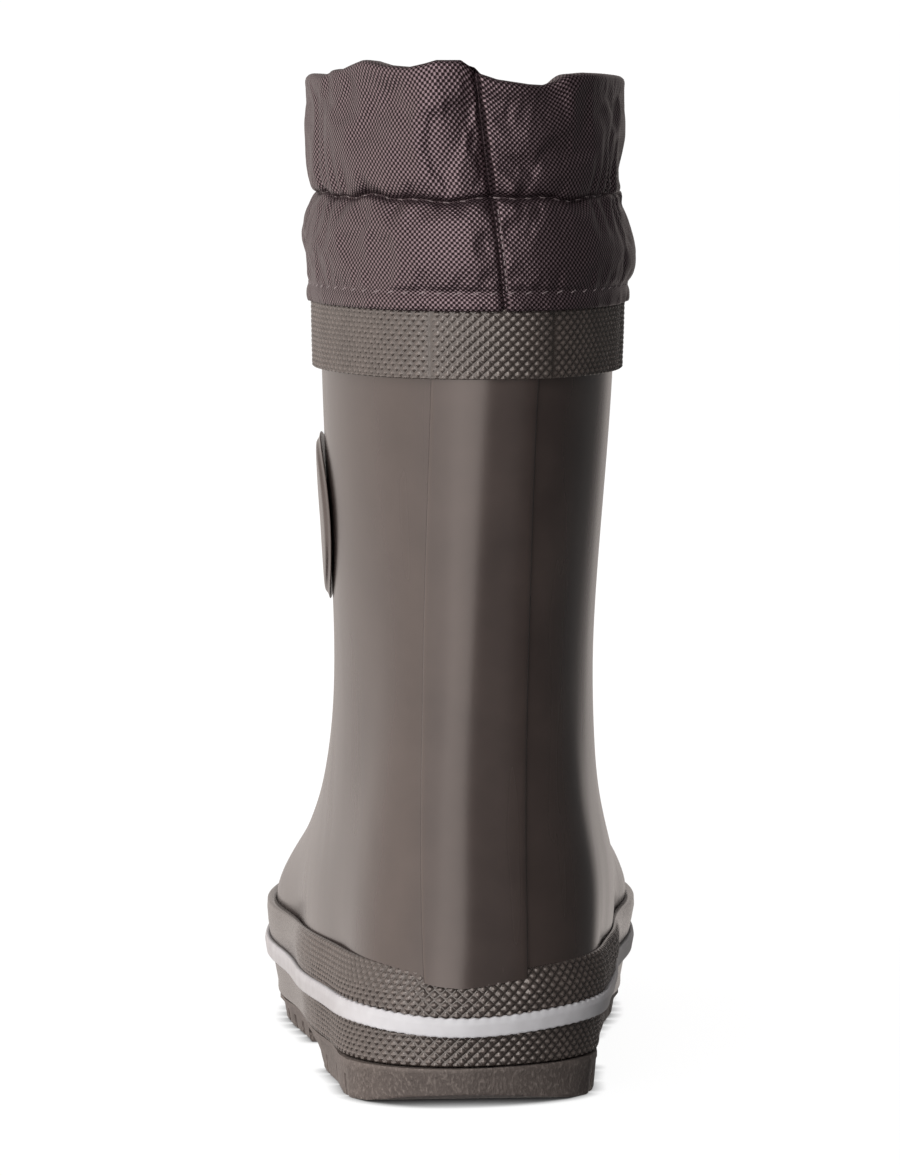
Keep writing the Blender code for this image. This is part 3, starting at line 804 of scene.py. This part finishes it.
def curve_through(rows, step):
    """A profile of named rows drawn as one smooth line and cut into steps of that length."""
    table = np.array([[getattr(row, name) for name in Profile._fields] for row in rows])
    span = np.linalg.norm(np.diff(table[:, :2], axis=0), axis=1)
    known = np.concatenate([[0.0], np.cumsum(np.sqrt(span))])
    padded = np.vstack([2 * table[0] - table[1], table, 2 * table[-1] - table[-2]])
    fine = []
    for index in range(len(table) - 1):
        for part in np.linspace(0, 1, CURVE_PARTS, endpoint=False):
            fine.append(curve(*padded[index:index + 4], part))
    fine = np.array(fine + [table[-1]])
    lengths = np.concatenate([[0.0], np.cumsum(np.linalg.norm(np.diff(fine[:, :2], axis=0), axis=1))])
    count = int(lengths[-1] * MM / step)
    places = np.linspace(0, lengths[-1], count)
    drawn = np.stack([np.interp(places, lengths, fine[:, axis]) for axis in range(4)], axis=1)
    drawn[:, 3] = np.clip(drawn[:, 3], 0, 1)
    return drawn, places


def bump(away, half):
    return np.exp(-(away / half) ** 2)


def gathered_folds(rng):
    """The small puckers along the sewn lines, as folds."""
    folds = []
    for seam in GATHERS:
        turn = -180.0
        while turn < 180.0:
            turn += rng.uniform(*seam.spacing)
            away = min(1.0, abs(abs(turn) - GATHER_CALM) / GATHER_CALM_SPREAD)
            strong = GATHER_SHARES[0] + GATHER_SHARES[1] * away
            run = rng.uniform(*seam.run)
            up, down = (run, GATHER_BACK) if seam.upward else (GATHER_BACK, run)
            half = rng.uniform(*GATHER_HALF)
            depth = seam.depth * strong * rng.uniform(*GATHER_VARIES)
            folds.append(Fold(turn, seam.z, up, down, half, depth))
    return folds


def channel_shift(turn, z):
    """How far the sewn channel's wandering lifts the cloth at each turn and height, in millimetres."""
    wave = sum(part.rise * np.sin(np.radians(turn) * part.waves + part.start) for part in CHANNEL_WANDER)
    return wave * bump(z - SEAM_HEIGHTS[1], CHANNEL_REACH)


def fold_depth(fold, turn, z, per_degree):
    """How deep a fold is at each turn and height, in millimetres."""
    away = ((turn - fold.turn + 180) % 360 - 180) * per_degree
    run = np.where(z > fold.z, fold.up, fold.down)
    share = np.clip(np.abs(z - fold.z) / run, 0, 1)
    across = bump(away, fold.half * (1 + FOLD_WIDENS * share))
    return fold.depth * across * (1 - share) ** FOLD_FALL * (1 + share)


def collar_grid():
    ring, normals, lengths, whole = seat_outline()
    profile, run = curve_through(COLLAR, COLLAR_ROW_STEP)
    rng = np.random.default_rng(WORK_SEED)
    places = stations(whole, finer_near_back(whole, SEAM_REACH, SEAM_STEP, COLLAR_STEP, SEAM_BLEND))
    away = from_the_back(places, whole) / MM
    base_index = np.interp(places, np.append(lengths, whole), np.arange(COLUMNS + 1))
    base_turn = (base_index * 360 / COLUMNS + 180) % 360 - 180
    per_degree = whole / MM / 360
    folds = list(FOLDS) + gathered_folds(rng)
    half = len(profile) // 2 + OUTSIDE_ROWS_MORE
    rings = []
    uv = []
    for row, (z, out, lift, _) in enumerate(profile):
        outside = row < half
        slant = np.interp(z, SEAM_HEIGHTS, SEAM_TURNS)
        turn = base_turn + slant * np.cos(np.radians(np.clip(base_turn, -90, 90)))
        index = (turn % 360) * COLUMNS / 360
        plan = ring_between(ring, index)
        normal = ring_between(normals, index)
        rise = np.interp(turn, [mark.turn for mark in RIM], [mark.rise for mark in RIM])
        height = z + lift * rise + channel_shift(turn, z)
        depth = sum(fold_depth(fold, turn, height, per_degree) for fold in folds)
        if outside:
            inner = bump(away, SEAM_INNER_HALF)
            crease = SEAM_DEEP * np.where(away < 0, bump(away, SEAM_OUTER_HALF), inner)
            roll_reach = np.interp(z, ROLL_HEIGHTS, ROLL_REACHES)
            rolled = np.where(away < 0, np.clip(1 + away / roll_reach, 0, 1) ** 2, inner)
            roll = np.interp(z, ROLL_HEIGHTS, ROLL_DEPTHS) * rolled
            slim = np.interp(turn, [mark.turn for mark in SLIM], [mark.inward for mark in SLIM])
            depth = depth + crease + roll + slim * np.clip((z - SEAM_HEIGHTS[1]) / SLIM_FADE, 0, 1)
        else:
            depth = INSIDE_FOLD * depth
        offset = (out - depth) * MM
        rings.append(np.column_stack([plan + normal * offset[:, None], height * MM]))
        uv.append(np.column_stack([places / MM, np.full(len(places), run[row])]))
    sewn = (np.arange(len(profile)) < half)[:, None] * bump(away, SEAM_OUTER_HALF)
    tied = np.maximum(profile[:, 3:], sewn)
    return np.array(rings), np.array(uv), tied


def swell(piece, tied):
    """Lets the wadding swell the cloth between its stitched lines, and keeps the result."""
    group = piece.vertex_groups.new(name="stitched")
    for weight in np.unique(np.round(tied, 2)):
        if weight > 0:
            group.add(np.flatnonzero(np.round(tied, 2) == weight).tolist(), float(weight), "REPLACE")
    count = len(piece.data.vertices)
    before = np.zeros(count * 3)
    piece.data.vertices.foreach_get("co", before)
    cloth = piece.modifiers.new("wadding", "CLOTH")
    for name, value in CLOTH.items():
        setattr(cloth.settings, name, value)
    cloth.settings.vertex_group_mass = group.name
    cloth.settings.effector_weights.gravity = 0
    cloth.collision_settings.use_collision = False
    for step in range(1, SWELL_FRAMES + 1):
        scene.frame_set(step)
    graph = bpy.context.evaluated_depsgraph_get()
    swollen = piece.evaluated_get(graph).to_mesh()
    after = np.zeros(count * 3)
    swollen.vertices.foreach_get("co", after)
    piece.evaluated_get(graph).to_mesh_clear()
    piece.modifiers.remove(cloth)
    scene.frame_set(1)
    moved = (after - before).reshape(-1, 3)
    far = np.linalg.norm(moved, axis=1, keepdims=True)
    moved *= np.minimum(1.0, SWELL_CAP / np.maximum(far, 1e-9))
    piece.data.vertices.foreach_set("co", (before.reshape(-1, 3) + moved).ravel())
    piece.data.update()


def make_collar(material):
    grid, uv, tied = collar_grid()
    piece = grid_mesh("padded_collar", grid, uv=uv)
    face_outward(piece)
    swell(piece, tied.ravel())
    applied(piece, "SUBSURF", levels=1, render_levels=1)
    hand_over(piece, material, "collar_nylon", "collar")
    return piece


def stitch_shape():
    """One thread stitch as rings of points along x, thin at its two ends where it dives into the cloth."""
    angles = np.linspace(0, 2 * math.pi, THREAD_SIDES, endpoint=False)
    return np.array([[(x, thick * math.cos(angle), thick * math.sin(angle)) for angle in angles]
                     for x, thick in zip(STITCH_ALONG, STITCH_THICK)])


def laid_stitch(shape, middle, along, normal, long):
    along = (along - normal * along.dot(normal)).normalized()
    side = normal.cross(along)
    axes = np.array([along * long, side * THREAD_RADIUS, normal * THREAD_RADIUS])
    return shape @ axes + np.array(middle + normal * THREAD_LIFT * THREAD_RADIUS)


def make_stitches(material, collar):
    """The thread that shows on the collar: along its hem, in its channel and up its back seam."""
    tree = tree_of(collar)
    shape = stitch_shape()
    laid = []

    def surface(turn, z):
        return hit(tree, shaft_column(turn), z)[:2]

    for row in STITCHING:
        turn = -180.0
        while turn < 180.0:
            place, normal = surface(turn, (row.z + channel_shift(turn, row.z)) * MM)
            next_turn = turn + STITCH_AHEAD
            ahead, _ = surface(next_turn, (row.z + channel_shift(next_turn, row.z)) * MM)
            along = (ahead - place).normalized()
            slanted = along + Vector((0, 0, math.tan(math.radians(row.slant))))
            laid.append(laid_stitch(shape, place, slanted, normal, row.long * MM))
            turn += math.degrees(row.pitch * MM / (place.xy - Vector(SHAFT_AXIS)).length)
    for z in np.arange(SEAM_STITCH_FROM, SEAM_STITCH_TO, SEAM_STITCH_PITCH):
        (place, normal), (ahead, _) = (
            surface(np.interp(height, SEAM_HEIGHTS, SEAM_TURNS) + SEAM_STITCH_ASIDE, height * MM)
            for height in (z, z + STITCH_AHEAD))
        along = (ahead - place).normalized()
        laid.append(laid_stitch(shape, place, along, normal, SEAM_STITCH_LONG * MM))
    rings, sides = shape.shape[:2]
    points = np.array(laid).reshape(-1, 3)
    faces = []
    for stitch in range(len(laid)):
        first = stitch * rings * sides
        for ring in range(rings - 1):
            for side in range(sides):
                after = (side + 1) % sides
                low = first + ring * sides
                faces.append((low + side, low + after, low + sides + after, low + sides + side))
        faces.append(tuple(first + side for side in reversed(range(sides))))
        faces.append(tuple(first + (rings - 1) * sides + side for side in range(sides)))
    mesh = bpy.data.meshes.new("collar_stitches")
    mesh.from_pydata(points.tolist(), [], faces)
    piece = bpy.data.objects.new("collar_stitches", mesh)
    scene.collection.objects.link(piece)
    face_outward(piece)
    return hand_over(piece, material, "collar_nylon")


# Materials

def linear(code):
    """An sRGB hex colour as linear red, green, blue and alpha."""
    parts = [int(code[place:place + 2], 16) / 255 for place in (1, 3, 5)]
    return [part / 12.92 if part <= 0.04045 else ((part + 0.055) / 1.055) ** 2.4 for part in parts] + [1.0]


def result(node):
    """A node's main output: the first one that its settings leave in use."""
    return next(socket for socket in node.outputs if socket.enabled)


def add_node(tree, kind, settings=None, into=None, **links):
    """Adds a node, sets its properties, inputs and colour stops, links the nodes or sockets that feed it,
    and links its own output into the named socket of the material's shader."""
    node = tree.nodes.new("ShaderNode" + kind)

    def socket_of(name):
        return node.inputs[int(name[5:]) if name.startswith("input") else name.replace("_", " ")]

    for name, value in (settings or {}).items():
        if name == "stops":
            for _ in value[2:]:
                node.color_ramp.elements.new(1.0)
            for element, (place, colour) in zip(node.color_ramp.elements, value):
                element.position = place
                if isinstance(colour, float):
                    colour = [colour] * 4
                element.color = linear(colour) if isinstance(colour, str) else colour
        elif hasattr(node, name) and name not in node.inputs:
            setattr(node, name, value)
        else:
            socket_of(name).default_value = value
    for name, source in links.items():
        feed = source if isinstance(source, bpy.types.NodeSocket) else result(source)
        tree.links.new(feed, socket_of(name))
    if into is not None:
        tree.links.new(result(node), tree.nodes["Principled BSDF"].inputs[into])
    return node


def new_material(name, colour, **settings):
    material = bpy.data.materials.new(name)
    material.use_nodes = True
    shader = material.node_tree.nodes["Principled BSDF"]
    shader.inputs["Base Color"].default_value = linear(colour)
    for socket, value in settings.items():
        shader.inputs[socket.replace("_", " ")].default_value = value
    return material, material.node_tree


def lacquered_rubber():
    """Hand-laid natural rubber under a clear lacquer: a deep brown black with a broad warm shine,
    faint cloudy patches and the thin runs that the lacquer leaves down the shaft."""
    material, tree = new_material("lacquered natural rubber", "#332c2a", Roughness=0.28, IOR=1.52,
                                  Specular_Tint=WARM_GLOSS, Coat_Weight=0.1, Coat_Roughness=0.12)
    where = add_node(tree, "TexCoord").outputs["Object"]
    clouds = add_node(tree, "TexNoise", {"Scale": 1 / (18 * MM), "Detail": 3.0}, Vector=where)
    drawn_out = (1 / (6 * MM), 1 / (6 * MM), 1 / (90 * MM))
    stretch = add_node(tree, "Mapping", {"Scale": drawn_out}, Vector=where)
    runs = add_node(tree, "TexNoise", {"Scale": 1.0, "Detail": 1.5}, Vector=stretch)
    grain = add_node(tree, "TexNoise", {"Scale": 1 / (0.9 * MM), "Detail": 2.0}, Vector=where)
    add_node(tree, "ValToRGB", {"stops": [(0.3, "#302826"), (0.7, "#3b322f")]}, "Base Color", Fac=clouds)
    add_node(tree, "ValToRGB", {"stops": [(0.3, 0.25), (0.75, 0.28)]}, "Roughness", Fac=runs)
    add_node(tree, "Bump", {"Strength": 0.05, "Distance": 0.15 * MM}, "Normal", Height=grain)
    return material


def knurled_rubber():
    """Calendered rubber strip pressed by a knurled roller: satin, so that each little
    pyramid catches the light on one face, with its crests painted paler as a painted highlight and its
    grooves painted darker as painted shade."""
    material, tree = new_material("knurled calendered rubber", "#453d3a", Roughness=0.25, IOR=1.68,
                                  Specular_Tint=KNURL_GLOSS)
    where = add_node(tree, "TexCoord").outputs["Object"]
    crest = add_node(tree, "Attribute", {"attribute_name": "crest"}).outputs["Fac"]
    # Painted highlight and shade: the colour is paler on the knurl's crests and darker in its grooves.
    painted_knurl_shading = add_node(tree, "ValToRGB", {"stops": [(0.2, "#2e2724"), (1.0, "#554c48")]}, Fac=crest)
    blotch = add_node(tree, "TexNoise", {"Scale": 1 / (6 * MM), "Detail": 4.0}, Vector=where)
    shade = add_node(tree, "ValToRGB", {"stops": [(0.3, "#d8d8d8"), (0.7, "#ffffff")]}, Fac=blotch)
    fine = add_node(tree, "TexNoise", {"Scale": 1 / (0.5 * MM), "Detail": 2.0}, Vector=where)
    add_node(tree, "Mix", {"data_type": "RGBA", "blend_type": "MULTIPLY", "Factor": 1.0}, "Base Color",
             input6=painted_knurl_shading, input7=shade)
    add_node(tree, "ValToRGB", {"stops": [(0.3, 0.20), (0.7, 0.30)]}, "Roughness", Fac=fine)
    add_node(tree, "Bump", {"Strength": 0.15, "Distance": 0.1 * MM}, "Normal", Height=fine)
    return material


def speckled(name, colour, texture, stops, relief, **settings):
    """A material whose one texture, given as a node's kind and settings, shades it and stands up from it."""
    material, tree = new_material(name, colour, **settings)
    where = add_node(tree, "TexCoord").outputs["Object"]
    pattern = add_node(tree, *texture, Vector=where)
    add_node(tree, "ValToRGB", {"stops": stops}, "Base Color", Fac=pattern)
    add_node(tree, "Bump", relief, "Normal", Height=pattern)
    return material


def stripe_rubber():
    """Pale rubber strip: chalky white with a soft matte bloom and faint handling marks."""
    marks = {"Scale": 1 / (4 * MM), "Detail": 5.0}
    return speckled("pale calendered rubber", "#b0aeb0", ("TexNoise", marks),
                    [(0.25, "#aaa7a9"), (0.7, "#b6b4b6")], {"Strength": 0.1, "Distance": 0.15 * MM},
                    Roughness=0.5, IOR=1.5)


def sole_rubber():
    """Moulded sole rubber: matte grey brown, with short upright granules from the mould's grit."""
    material, tree = new_material("moulded sole rubber", "#6e6562", Roughness=0.55, IOR=1.5,
                                  Specular_Tint=WARM_GLOSS)
    where = add_node(tree, "TexCoord").outputs["Object"]
    upright = (1 / (0.55 * MM), 1 / (0.55 * MM), 1 / (0.95 * MM))
    stretch = add_node(tree, "Mapping", {"Scale": upright}, Vector=where)
    grit = add_node(tree, "TexNoise", {"Scale": 1.0, "Detail": 3.0}, Vector=stretch)
    blotch = add_node(tree, "TexNoise", {"Scale": 1 / (7 * MM), "Detail": 4.0}, Vector=where)
    shade = add_node(tree, "ValToRGB", {"stops": [(0.3, "#443d3a"), (0.7, "#544c48")]}, Fac=blotch)
    points = add_node(tree, "ValToRGB", {"stops": [(0.50, "#000000"), (0.74, "#ffffff")]}, Fac=grit)
    add_node(tree, "Mix", {"data_type": "RGBA", "input7": linear("#6c635e")}, "Base Color", Factor=points,
             input6=shade)
    add_node(tree, "Bump", {"Strength": 0.6, "Distance": 0.35 * MM}, "Normal", Height=grit)
    return material


def woven_nylon():
    """Plain-woven nylon: each thread shines as a bright dot where it floats, and its colour is painted
    nearly black between the threads as painted shade, so the dots stand out in the light and are lost in the
    shade."""
    material, tree = new_material("plain woven nylon", "#2c2223", Roughness=0.40, IOR=1.72,
                                  Specular_Tint=PINK_GLOSS)
    where = add_node(tree, "UVMap", {"uv_map": "cloth"})
    wobble = add_node(tree, "TexNoise", {"Scale": 0.35, "Detail": 2.0}, Vector=where)
    shift = add_node(tree, "VectorMath", {"operation": "MULTIPLY_ADD", "input1": (0.35, 0.35, 0.0)},
                     input0=wobble.outputs["Color"], input2=where)
    parts = add_node(tree, "SeparateXYZ", Vector=shift)
    waves = []
    for axis, pitch in zip(("X", "Y"), WEAVE_PITCH):
        turn = add_node(tree, "Math", {"operation": "MULTIPLY", "input1": 2 * math.pi * MM / pitch},
                        input0=parts.outputs[axis])
        waves.append(add_node(tree, "Math", {"operation": "SINE"}, input0=turn))
    cross = add_node(tree, "Math", {"operation": "MULTIPLY"}, input0=waves[0], input1=waves[1])
    lifted = add_node(tree, "Math", {"operation": "MULTIPLY_ADD", "input1": 0.5, "input2": 0.5},
                      input0=cross)
    # Painted shade: the colour darkens to nearly black in the gaps between the threads.
    add_node(tree, "ValToRGB", {"stops": [(0.35, "#120b0c"), (0.8, "#41363a")]}, "Base Color", Fac=lifted)
    add_node(tree, "ValToRGB", {"stops": [(0.40, 0.06), (0.75, 1.0)]}, "Specular IOR Level", Fac=lifted)
    add_node(tree, "Bump", {"Strength": 0.6, "Distance": 0.2 * MM}, "Normal", Height=lifted)
    return material


def spun_thread():
    """Spun polyester sewing thread: a pale pinkish grey with fine darker flecks of its twist."""
    twist = {"Scale": 1 / (0.3 * MM), "Detail": 2.0}
    return speckled("spun polyester thread", "#8d7f80", ("TexNoise", twist),
                    [(0.3, "#574a4b"), (0.7, "#857778")], {"Strength": 0.4, "Distance": 0.1 * MM},
                    Roughness=0.6, Sheen_Weight=0.2)


def knitted_pile():
    """Knitted pile lining: soft grey-brown, matte, in small tufts."""
    return speckled("knitted pile", "#4b4442", ("TexVoronoi", {"Scale": 1 / (1.6 * MM)}),
                    [(0.1, "#5c5452"), (0.7, "#383230")],
                    {"Strength": 0.7, "Distance": 0.6 * MM, "invert": True},
                    Roughness=0.95, Sheen_Weight=0.4, Sheen_Roughness=0.6)


def needled_felt():
    """Needled felt on the foam insole: flat, hairy and matte, in two close greys."""
    hairs = {"Scale": 1 / (0.8 * MM), "Detail": 5.0, "Distortion": 1.5}
    return speckled("needled felt", "#575150", ("TexNoise", hairs), [(0.3, "#453f3e"), (0.7, "#6b6462")],
                    {"Strength": 0.4, "Distance": 0.3 * MM}, Roughness=0.95, Sheen_Weight=0.3)


def studio_paper():
    """Seamless white paper, lit from behind: even, with barely visible fibre, a touch dimmer near the boot,
    white far off, and darkened close to the sole as a painted contact shadow.
    """
    material, tree = new_material("white studio paper", "#3a3a3a", Roughness=0.9, Emission_Strength=1.0)
    where = add_node(tree, "TexCoord").outputs["Object"]
    fibre = add_node(tree, "TexNoise", {"Scale": 60.0, "Detail": 3.0}, Vector=where)
    distance = add_node(tree, "VectorMath", {"operation": "LENGTH"}, input0=where)
    glow = add_node(tree, "ValToRGB", {"stops": [(0.12, 0.96), (0.6, 1.0)]}, Fac=distance)
    add_node(tree, "ValToRGB", {"stops": [(0.2, "#383838"), (0.8, "#3c3c3c")]}, "Base Color", Fac=fibre)
    # Painted contact shadow: ambient occlusion darkens the paper's glow within CONTACT_REACH of the sole.
    add_node(tree, "AmbientOcclusion", {"Distance": CONTACT_REACH}, "Emission Color", Color=glow)
    return material


# Studio

def make_floor(material):
    """A sheet of paper on the floor that curves up behind the boot."""
    flat = [(-PAPER_HALF, y, 0.0) for y in np.linspace(PAPER_FRONT, PAPER_TURN, 4)]
    curved = [(-PAPER_HALF, PAPER_TURN + PAPER_SWEEP * math.sin(angle), PAPER_SWEEP * (1 - math.cos(angle)))
              for angle in np.linspace(0.2, math.pi / 2, 12)]
    wall = [(-PAPER_HALF, PAPER_TURN + PAPER_SWEEP, PAPER_TOP)]
    left = np.array(flat + curved + wall)
    right = left * np.array([-1.0, 1.0, 1.0])
    piece = grid_mesh("studio_paper", np.stack([right, left]), around=False, along=False)
    piece.data.materials.append(material)
    work_on(piece)
    bpy.ops.object.shade_smooth()
    piece.visible_glossy = False
    piece.visible_diffuse = False


def glowing_screen():
    """White cloth screen lit from behind: a soft even glow, brightest behind the heel, dimmer high up."""
    material, tree = new_material("lit white cloth", "#000000", Emission_Strength=SCREEN_STRENGTH)
    first, last = SCREEN[0].bearing, SCREEN[-1].bearing
    stops = []
    for mark in SCREEN:
        glow = [part * mark.bright / SCREEN_STRENGTH for part in linear(mark.colour)]
        stops.append(((mark.bearing - first) / (last - first), glow))
    where = add_node(tree, "UVMap", {"uv_map": "cloth"})
    parts = add_node(tree, "SeparateXYZ", Vector=where)
    round_about = add_node(tree, "ValToRGB", {"stops": stops}, Fac=parts.outputs["X"])
    up = add_node(tree, "ValToRGB", {"stops": SCREEN_DIMS}, Fac=parts.outputs["Y"])
    add_node(tree, "Mix", {"data_type": "RGBA", "blend_type": "MULTIPLY", "Factor": 1.0}, "Emission Color",
             input6=round_about, input7=up)
    return material


def make_screen(material):
    shares = np.linspace(0, 1, SCREEN_PANES)
    bearings = np.radians(SCREEN[0].bearing + (SCREEN[-1].bearing - SCREEN[0].bearing) * shares)
    plan = np.column_stack([-SCREEN_AWAY * np.sin(bearings), SHAFT_AXIS[1] - SCREEN_AWAY * np.cos(bearings)])
    rows = [np.column_stack([plan, np.full(SCREEN_PANES, z)]) for z in (SCREEN_LOW, SCREEN_HIGH)]
    uv = [np.column_stack([shares, np.full(SCREEN_PANES, row)]) for row in (0.0, 1.0)]
    piece = grid_mesh("white_screen", np.array(rows), around=False, along=False, uv=np.array(uv))
    piece.data.materials.append(material)
    piece.visible_camera = False
    piece.visible_shadow = False


def make_softbox():
    lamp = bpy.data.lights.new("softbox", "AREA")
    lamp.shape = "RECTANGLE"
    lamp.size, lamp.size_y = SOFTBOX_SIZE
    lamp.energy = SOFTBOX_BRIGHT * math.pi * lamp.size * lamp.size_y
    box = bpy.data.objects.new("softbox", lamp)
    box.location = SOFTBOX_AT
    box.rotation_euler = (Vector(AIM) - Vector(SOFTBOX_AT)).to_track_quat("-Z", "Y").to_euler()
    scene.collection.objects.link(box)


def make_studio():
    world = bpy.data.worlds.new("studio")
    scene.world = world
    world.use_nodes = True
    world.node_tree.nodes["Background"].inputs["Color"].default_value = (1.0, 1.0, 1.0, 1.0)
    world.node_tree.nodes["Background"].inputs["Strength"].default_value = WORLD_GLOW
    make_screen(glowing_screen())
    make_softbox()


def make_camera():
    lens = bpy.data.cameras.new("photo lens")
    lens.sensor_fit = "AUTO"
    lens.sensor_width = SENSOR_MM
    lens.lens = LENS_MM
    lens.clip_start = LENS_CLIP
    camera = bpy.data.objects.new("photo camera", lens)
    camera.location = EYE
    camera.rotation_euler = (Vector(AIM) - Vector(EYE)).to_track_quat("-Z", "Y").to_euler()
    scene.collection.objects.link(camera)
    scene.camera = camera


def build():
    deselect()
    rubber = lacquered_rubber()
    knurled = knurled_rubber()
    upper = make_upper(rubber)
    make_backstay(rubber, upper)
    make_badge(rubber)
    make_top_band(knurled)
    foot = foot_columns()
    make_foxing(knurled, foot)
    make_stripe(stripe_rubber(), foot)
    make_outsole(sole_rubber())
    make_insole(needled_felt())
    make_lining(knitted_pile())
    collar = make_collar(woven_nylon())
    make_stitches(spun_thread(), collar)
    make_floor(studio_paper())
    make_studio()
    make_camera()
    scene.view_settings.view_transform = "Standard"


build()
